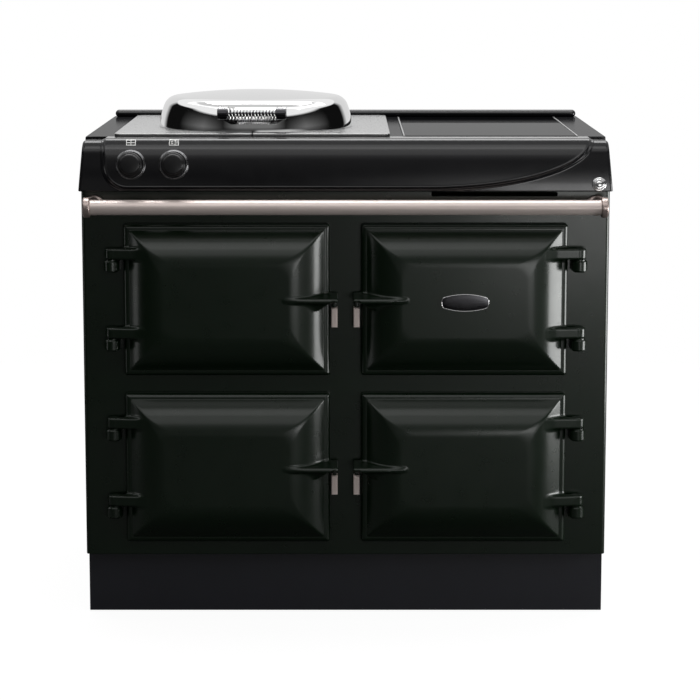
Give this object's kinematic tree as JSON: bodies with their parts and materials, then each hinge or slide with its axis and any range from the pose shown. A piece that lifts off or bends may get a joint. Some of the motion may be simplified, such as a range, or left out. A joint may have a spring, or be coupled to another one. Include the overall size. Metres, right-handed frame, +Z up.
{
  "type": "range cooker",
  "caption": "Black enamelled cast iron range cooker with hinged oven doors, a domed chrome lid over a round hotplate, an induction hob and a towel rail.",
  "frame": {"origin": "middle of the base, on the floor, under the centre of the whole cooker's box", "axes": "+Z up, the doors face -Y, +X to the viewer's right when facing the doors"},
  "size_m": [0.996, 0.7, 0.9885],
  "materials": {
    "enamel": "gloss vitreous enamel, very dark green black",
    "gloss_black": "gloss black vitreous enamel",
    "plinth": "satin charcoal paint",
    "galvanised": "galvanised sheet",
    "casing": "satin black paint",
    "frame_steel": "grey primer on welded steel",
    "cast_raw": "bare cast iron",
    "stainless": "brushed stainless steel, warm",
    "chrome": "polished chrome",
    "dark_chrome": "dark polished chrome",
    "satin": "satin grey metal",
    "hob_glass": "black glass ceramic",
    "insulation": "mineral wool",
    "seal": "woven rope seal",
    "liner_steel": "pressed aluminised steel",
    "black_plastic": "gloss black plastic",
    "matt_plastic": "matt black plastic",
    "board": "grey electronics case",
    "element": "heat-tinted sheath"
  },
  "bodies": {
    "cooker": {"base_frame": "frame_steel", "levelling_feet": "galvanised", "plinth_panel": "plinth", "side_panels": "casing", "back_panel": "galvanised", "front_plate": "enamel", "top_plate": "gloss_black", "fascia_panel": "gloss_black", "rear_bar": "gloss_black", "hotplate_surround": "satin", "hotplates": "cast_raw", "hotplate_heater": "galvanised", "hob_glass": "hob_glass", "hob_trim": "stainless", "induction_module": "board", "oven_liner_tl": "cast_raw", "oven_liner_tr": "cast_raw", "oven_liner_bl": "cast_raw", "oven_liner_br": "cast_raw", "oven_seals": "seal", "oven_elements": "element", "insulation": "insulation", "hinge_brackets": "enamel", "door_catches": "stainless", "towel_rail": "stainless", "rail_brackets": "stainless", "lid_hinge_base": "chrome", "knob_bezels": "black_plastic", "knob_switches": "matt_plastic", "control_unit": "board", "cable_gland": "matt_plastic", "fascia_button": "chrome"},
    "door_tl": {"door_casting_tl": "enamel", "door_panel_tl": "liner_steel", "door_insulation_tl": "insulation"},
    "door_tr": {"door_casting_tr": "enamel", "door_panel_tr": "liner_steel", "door_insulation_tr": "insulation", "door_badge": "chrome"},
    "door_bl": {"door_casting_bl": "enamel", "door_panel_bl": "liner_steel", "door_insulation_bl": "insulation"},
    "door_br": {"door_casting_br": "enamel", "door_panel_br": "liner_steel", "door_insulation_br": "insulation"},
    "lid": {"lid_shell": "chrome", "lid_liner": "liner_steel", "lid_hinge_arm": "chrome", "lid_handle_posts": "dark_chrome", "lid_handle_rod": "dark_chrome", "lid_handle_coil": "chrome"},
    "oven_dial": {"oven_knob": "black_plastic", "oven_spindle": "galvanised"},
    "hob_dial": {"hob_knob": "black_plastic", "hob_spindle": "galvanised"},
    "shelf_tl": {"rack_tl": "stainless"},
    "shelf_tr": {"rack_tr": "stainless"},
    "shelf_bl": {"rack_bl": "stainless"},
    "shelf_br": {"rack_br": "stainless"}
  },
  "joints": [
    {"name": "door_tl_hinge", "type": "hinge", "parent": "cooker", "child": "door_tl", "pos_m": [-0.437, -0.307, 0.6111], "axis": [0, 0, -1], "range_deg": [0, 110]},
    {"name": "door_tr_hinge", "type": "hinge", "parent": "cooker", "child": "door_tr", "pos_m": [0.437, -0.307, 0.6111], "axis": [0, 0, 1], "range_deg": [0, 110]},
    {"name": "door_bl_hinge", "type": "hinge", "parent": "cooker", "child": "door_bl", "pos_m": [-0.437, -0.307, 0.2905], "axis": [0, 0, -1], "range_deg": [0, 110]},
    {"name": "door_br_hinge", "type": "hinge", "parent": "cooker", "child": "door_br", "pos_m": [0.437, -0.307, 0.2905], "axis": [0, 0, 1], "range_deg": [0, 110]},
    {"name": "lid_hinge", "type": "hinge", "parent": "cooker", "child": "lid", "pos_m": [-0.176, 0.191, 0.935], "axis": [-1, 0, 0], "range_deg": [0, 82]},
    {"name": "oven_dial_turn", "type": "hinge", "parent": "cooker", "child": "oven_dial", "pos_m": [-0.399, -0.30722, 0.865], "axis": [0, 0.9934, -0.1149], "range_deg": [0, 270]},
    {"name": "hob_dial_turn", "type": "hinge", "parent": "cooker", "child": "hob_dial", "pos_m": [-0.319, -0.30722, 0.865], "axis": [0, 0.9934, -0.1149], "range_deg": [0, 270]},
    {"name": "shelf_tl_slide", "type": "slide", "parent": "cooker", "child": "shelf_tl", "axis": [0, -1, 0], "range_m": [0, 0.01]},
    {"name": "shelf_tr_slide", "type": "slide", "parent": "cooker", "child": "shelf_tr", "axis": [0, -1, 0], "range_m": [0, 0.01]},
    {"name": "shelf_bl_slide", "type": "slide", "parent": "cooker", "child": "shelf_bl", "axis": [0, -1, 0], "range_m": [0, 0.01]},
    {"name": "shelf_br_slide", "type": "slide", "parent": "cooker", "child": "shelf_br", "axis": [0, -1, 0], "range_m": [0, 0.01]}
  ]
}
